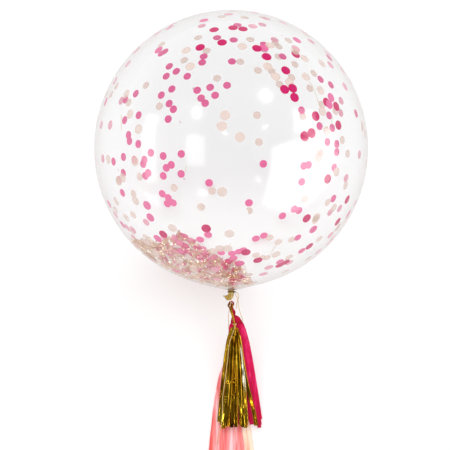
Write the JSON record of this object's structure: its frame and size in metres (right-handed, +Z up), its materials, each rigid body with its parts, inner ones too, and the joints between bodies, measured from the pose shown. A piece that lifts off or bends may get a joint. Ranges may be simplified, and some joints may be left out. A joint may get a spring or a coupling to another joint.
{
  "type": "clear bubble balloon",
  "caption": "Clear bubble balloon filled with confetti, tied with gold string, with a tail of fringed tissue and foil tassels, lying on its side.",
  "frame": {"origin": "middle of the small flat spot that the balloon lies on, straight under the centre of the balloon", "axes": "+Z up, +Y away from the neck and the tail; the neck points towards -Y and 30 degrees below the horizontal"},
  "size_m": [0.7626, 1.1879, 0.7602],
  "materials": {
    "film": "clear glossy stretched film",
    "cord_gold": "twisted string with a metallic gold thread",
    "tissue_magenta": "matte tissue paper",
    "foil_gold": "crinkled gold metallised foil, glossy",
    "tissue_pink": "matte tissue paper",
    "tissue_cream": "matte tissue paper"
  },
  "bodies": {
    "root": {"balloon": "film", "neck_tie": "cord_gold", "waist_tie": "cord_gold", "tail_knot": "cord_gold", "tail_string": "cord_gold", "front_string": "cord_gold", "neck_string_long": "cord_gold", "neck_string_short": "cord_gold", "tassel_magenta": "tissue_magenta", "tassel_gold": "foil_gold", "tassel_pink": "tissue_pink", "tassel_cream": "tissue_cream"}
  },
  "joints": []
}
